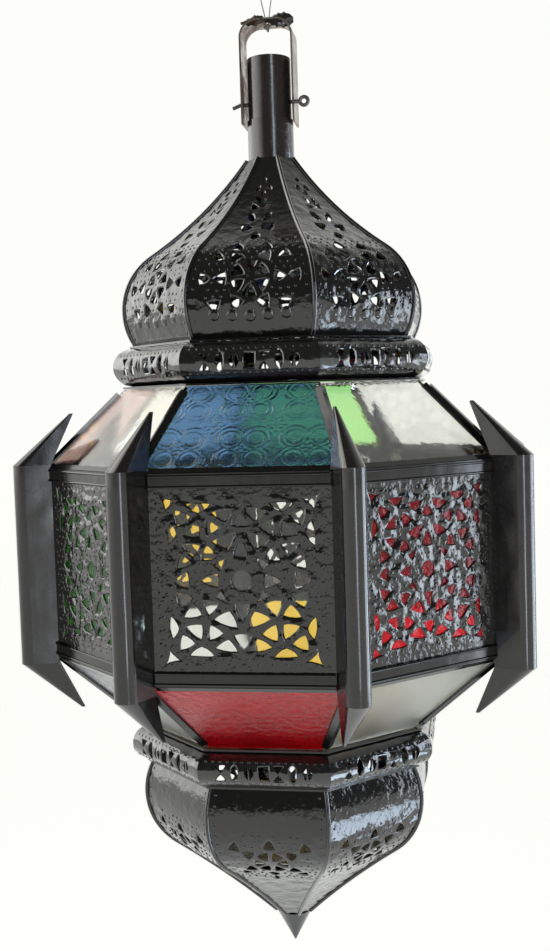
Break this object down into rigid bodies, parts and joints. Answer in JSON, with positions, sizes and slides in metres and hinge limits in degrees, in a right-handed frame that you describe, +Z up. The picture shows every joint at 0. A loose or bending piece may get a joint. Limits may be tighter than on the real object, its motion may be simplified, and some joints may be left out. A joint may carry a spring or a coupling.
{
  "type": "hanging lantern",
  "caption": "Eight-sided hanging lantern of black punched tin with coloured glass, a hinged door, a swinging hanger and a candle holder.",
  "frame": {"origin": "centre of the hanging hole, on the top face of the strap", "axes": "+Z up; the front side faces -Y, and the door is in the back side, which faces +Y"},
  "size_m": [0.3152, 0.3152, 0.6307],
  "materials": {
    "black_tin": "gloss black lacquer on tin",
    "strap_steel": "worn bare strip steel, brown in places",
    "leaf_lacquer": "gloss black",
    "pin_wire": "dull wire",
    "pale_line": "fine pale twine",
    "clip_tin": "dull tinplate",
    "hinge_tin": "satin black",
    "brass": "satin",
    "clear_glass": "clear",
    "red_glass": "coloured, textured",
    "green_glass": "coloured, textured",
    "blue_glass": "coloured, textured",
    "amber_glass": "coloured, textured",
    "teal_glass": "coloured, moulded pattern",
    "rose_glass": "coloured, textured",
    "pale_green_glass": "coloured, textured"
  },
  "bodies": {
    "root": {"hanger_strap": "strap_steel", "strap_leaf": "leaf_lacquer", "hanger_pin": "pin_wire", "hanging_line": "pale_line"},
    "lantern": {"neck_tube": "black_tin", "neck_sleeve": "black_tin", "dome_gores": "black_tin", "dome_seat": "black_tin", "upper_roll": "black_tin", "upper_lip": "black_tin", "upper_edge_bars": "black_tin", "top_rails": "black_tin", "corner_posts": "black_tin", "bottom_rails": "black_tin", "lower_edge_bars": "black_tin", "lower_lip": "black_tin", "lower_roll": "black_tin", "bulb_seat": "black_tin", "bulb_gores": "black_tin", "finial": "black_tin", "fins": "black_tin", "panel_front": "black_tin", "panel_front_right": "black_tin", "panel_right": "black_tin", "panel_back_right": "black_tin", "panel_back_left": "black_tin", "panel_left": "black_tin", "panel_front_left": "black_tin", "pane_front": "clear_glass", "pane_front_right": "red_glass", "pane_right": "clear_glass", "pane_back_right": "blue_glass", "pane_back_left": "amber_glass", "pane_left": "clear_glass", "pane_front_left": "green_glass", "upper_pane_front": "teal_glass", "upper_pane_right": "amber_glass", "upper_pane_back": "green_glass", "upper_pane_left": "rose_glass", "upper_panes_clear": "clear_glass", "lower_pane_front": "red_glass", "lower_pane_right": "pale_green_glass", "lower_pane_back": "amber_glass", "lower_pane_left": "blue_glass", "lower_panes_clear": "clear_glass", "pane_clips": "clip_tin", "door_frame": "black_tin", "hinge_leaves": "hinge_tin", "hinge_pins": "pin_wire", "latch_rivet": "pin_wire", "candle_plate": "clip_tin", "drip_pan": "brass", "candle_cup": "brass"},
    "door": {"door_panel": "black_tin", "door_pane": "clear_glass", "door_clips": "clip_tin", "door_hinge_leaves": "hinge_tin"},
    "latch": {"door_latch": "hinge_tin"}
  },
  "joints": [
    {"name": "lantern_swing", "type": "hinge", "parent": "root", "child": "lantern", "pos_m": [0, 0, -0.0505], "axis": [1, 0, 0], "range_deg": [-100, 100]},
    {"name": "door_swing", "type": "hinge", "parent": "lantern", "child": "door", "pos_m": [0.0439, 0.14068, -0.33498], "axis": [0, 0, -1], "range_deg": [0, 105]},
    {"name": "latch_turn", "type": "hinge", "parent": "lantern", "child": "latch", "pos_m": [-0.0471, 0.13938, -0.33498], "axis": [0, -1, 0], "range_deg": [0, 90]}
  ]
}
